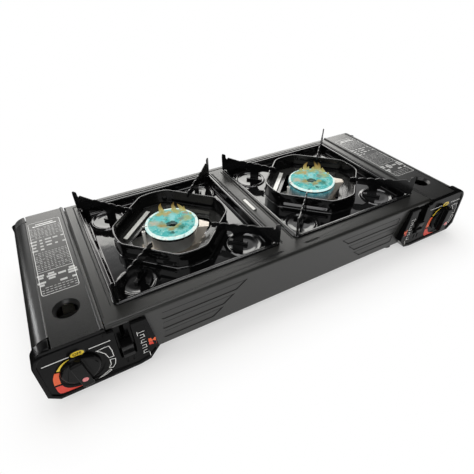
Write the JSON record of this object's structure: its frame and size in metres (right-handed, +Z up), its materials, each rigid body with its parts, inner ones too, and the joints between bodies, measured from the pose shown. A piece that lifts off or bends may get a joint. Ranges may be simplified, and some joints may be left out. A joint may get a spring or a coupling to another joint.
{
  "type": "camping stove",
  "caption": "Portable double-burner butane camping stove with lift-off drip pans, serrated pot blades, hinged cartridge lids, ignition knobs and locking levers.",
  "frame": {"origin": "centre of the bounding box in plan, on the table under the stove", "axes": "+X runs along the stove's length to the user's right, +Y runs from the control panels to the back, +Z points up"},
  "size_m": [0.6444, 0.272, 0.116],
  "materials": {
    "shell": "satin",
    "enamel": "satin",
    "lid_paint": "satin",
    "gloss_enamel": "gloss",
    "panel_plastic": "gloss",
    "knob_plastic": "satin",
    "rubber": "matte",
    "bright_steel": "satin",
    "aluminised": "satin",
    "rim_steel": "polished",
    "cast_alloy": "cast",
    "brass": "satin",
    "ceramic": "glazed"
  },
  "bodies": {
    "root": {"base_pan": "shell", "feet": "rubber", "base_screws": "bright_steel", "top_plate": "enamel", "panel_screws": "bright_steel", "centre_stay": "bright_steel", "pan_well_left": "enamel", "pan_well_right": "enamel", "bulkhead_left": "shell", "bulkhead_right": "shell", "cradle_left": "bright_steel", "cradle_right": "bright_steel", "guide_plate_left": "bright_steel", "guide_plate_right": "bright_steel", "regulator_left": "cast_alloy", "regulator_right": "cast_alloy", "gas_pipe_left": "brass", "gas_pipe_right": "brass", "jet_left": "brass", "jet_right": "brass", "heat_plate_left": "aluminised", "heat_plate_right": "aluminised", "burner_bracket_left": "bright_steel", "burner_bracket_right": "bright_steel", "burner_cup_left": "cast_alloy", "burner_cup_right": "cast_alloy", "burner_rim_left": "rim_steel", "burner_rim_right": "rim_steel", "burner_cap_left": "cast_alloy", "burner_cap_right": "cast_alloy", "electrode_left": "ceramic", "electrode_right": "ceramic", "electrode_tip_left": "bright_steel", "electrode_tip_right": "bright_steel", "control_panel_left": "panel_plastic", "control_panel_right": "panel_plastic", "hinge_pins_left": "bright_steel", "hinge_pins_right": "bright_steel"},
    "support_left": {"drip_pan_left": "gloss_enamel", "pot_blades_left": "gloss_enamel"},
    "lid_left": {"lid_left": "lid_paint"},
    "knob_left": {"knob_left": "knob_plastic", "spindle_left": "bright_steel"},
    "lever_left": {"lever_left": "knob_plastic"},
    "clamp_left": {"cartridge_clamp_left": "bright_steel"},
    "support_right": {"drip_pan_right": "gloss_enamel", "pot_blades_right": "gloss_enamel"},
    "lid_right": {"lid_right": "lid_paint"},
    "knob_right": {"knob_right": "knob_plastic", "spindle_right": "bright_steel"},
    "lever_right": {"lever_right": "knob_plastic"},
    "clamp_right": {"cartridge_clamp_right": "bright_steel"}
  },
  "joints": [
    {"name": "lid_hinge_left", "type": "hinge", "parent": "root", "child": "lid_left", "pos_m": [-0.3168, 0.007, 0.0612], "axis": [0, -1, 0], "range_deg": [0, 95]},
    {"name": "lid_hinge_right", "type": "hinge", "parent": "root", "child": "lid_right", "pos_m": [0.3168, 0.007, 0.0612], "axis": [0, 1, 0], "range_deg": [0, 95]},
    {"name": "knob_turn_left", "type": "hinge", "parent": "root", "child": "knob_left", "pos_m": [-0.28165, -0.13, 0.0425], "axis": [0, -1, 0], "range_deg": [0, 160]},
    {"name": "knob_turn_right", "type": "hinge", "parent": "root", "child": "knob_right", "pos_m": [0.28165, -0.13, 0.0425], "axis": [0, -1, 0], "range_deg": [0, 160]},
    {"name": "lever_slide_left", "type": "slide", "parent": "root", "child": "lever_left", "axis": [0, 0, 1], "range_m": [0, 0.022]},
    {"name": "lever_slide_right", "type": "slide", "parent": "root", "child": "lever_right", "axis": [0, 0, 1], "range_m": [0, 0.022]},
    {"name": "clamp_slide_left", "type": "slide", "parent": "root", "child": "clamp_left", "axis": [0, 1, 0], "range_m": [0, 0.008]},
    {"name": "clamp_slide_right", "type": "slide", "parent": "root", "child": "clamp_right", "axis": [0, 1, 0], "range_m": [0, 0.008]},
    {"name": "support_lift_left", "type": "slide", "parent": "root", "child": "support_left", "axis": [0, 0, 1], "range_m": [0, 0.12]},
    {"name": "support_lift_right", "type": "slide", "parent": "root", "child": "support_right", "axis": [0, 0, 1], "range_m": [0, 0.12]}
  ],
  "couplings": [
    {"joint": "clamp_slide_left", "follows": "lever_slide_left", "ratio": 0.36},
    {"joint": "clamp_slide_right", "follows": "lever_slide_right", "ratio": 0.36}
  ]
}
